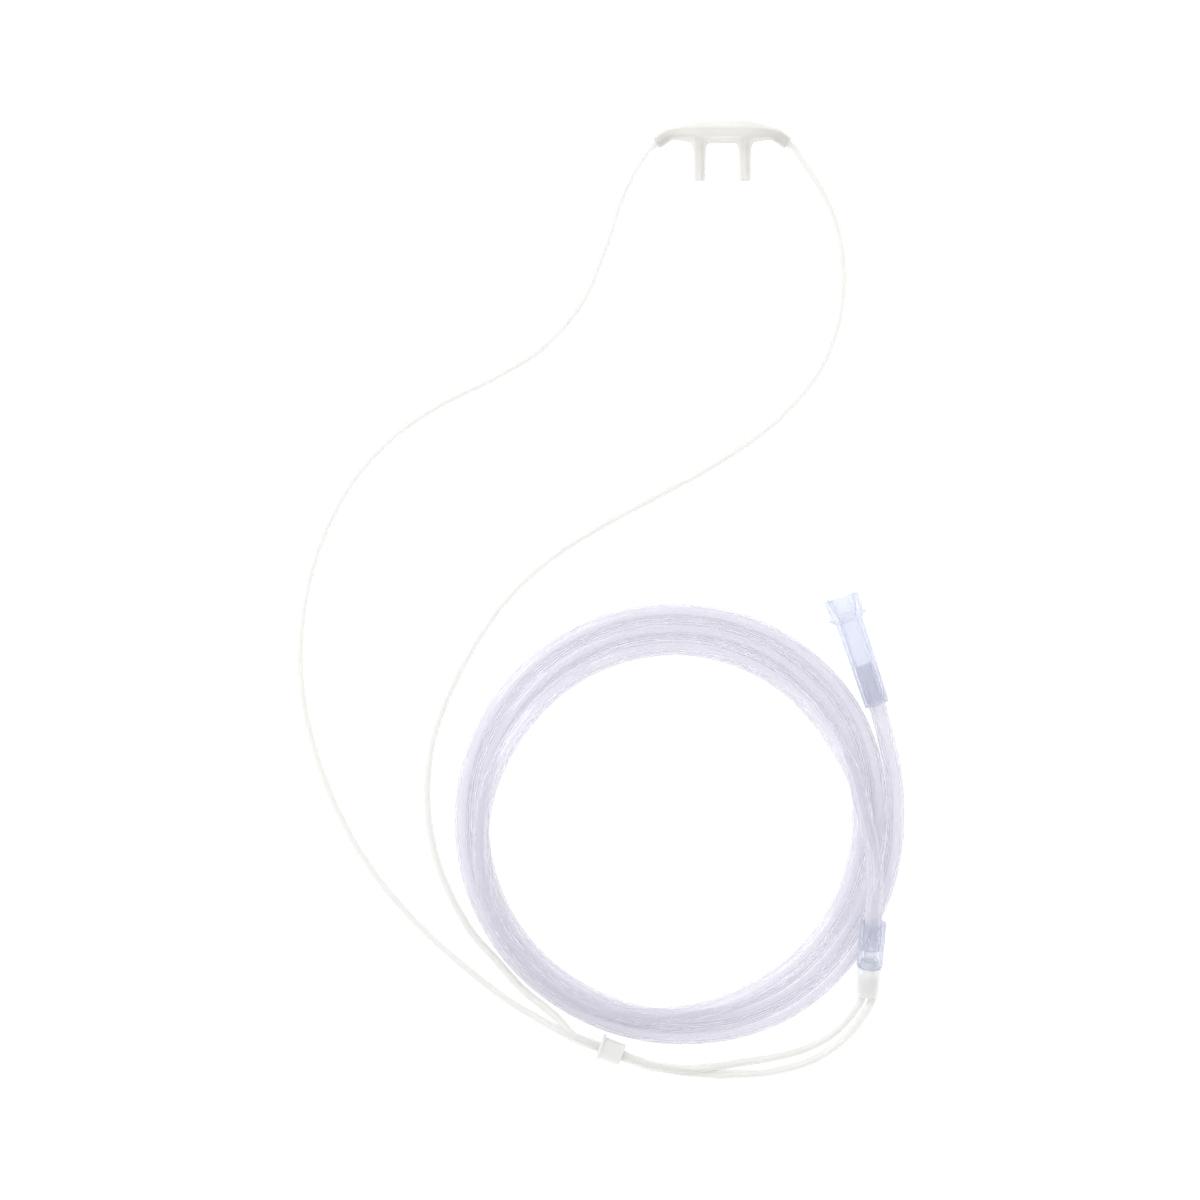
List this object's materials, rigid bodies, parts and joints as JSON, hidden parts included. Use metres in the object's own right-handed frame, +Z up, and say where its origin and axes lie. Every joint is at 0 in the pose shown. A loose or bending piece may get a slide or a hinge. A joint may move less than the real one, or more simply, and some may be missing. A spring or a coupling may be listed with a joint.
{
  "type": "nasal oxygen cannula",
  "caption": "Nasal oxygen cannula with a soft pronged nosepiece, thin lariat tubes through a sliding sleeve, a Y connector and a thick supply tube wound in a loose coil.",
  "frame": {"origin": "under the middle of the nosepiece, on the floor that the whole part lies on", "axes": "+X from the left collar of the nosepiece to the right one, +Y away from the prongs' tips, +Z up from the floor"},
  "size_m": [0.2176, 0.3426, 0.0172],
  "materials": {
    "nosepiece_pvc": "soft milky vinyl with a satin surface",
    "lariat_pvc": "clear flexible vinyl tube, glossy",
    "slider_plastic": "cloudy moulded plastic",
    "socket_pvc": "milky moulded vinyl",
    "coupler_pvc": "clear blue-tinted moulded vinyl",
    "supply_pvc": "clear violet-tinted flexible vinyl tube, glossy"
  },
  "bodies": {
    "cannula": {"nosepiece": "nosepiece_pvc", "lariat_tube_left": "lariat_pvc", "lariat_tube_right": "lariat_pvc", "lariat_socket": "socket_pvc", "supply_coupler": "coupler_pvc", "supply_tube_start": "supply_pvc", "supply_coil": "supply_pvc", "supply_tube_end": "supply_pvc", "end_connector": "coupler_pvc"},
    "slider": {"slider": "slider_plastic"}
  },
  "joints": [
    {"name": "slider_slide", "type": "slide", "parent": "cannula", "child": "slider", "axis": [-0.9367, 0.3502, 0], "range_m": [-0.007, 0.007]}
  ]
}
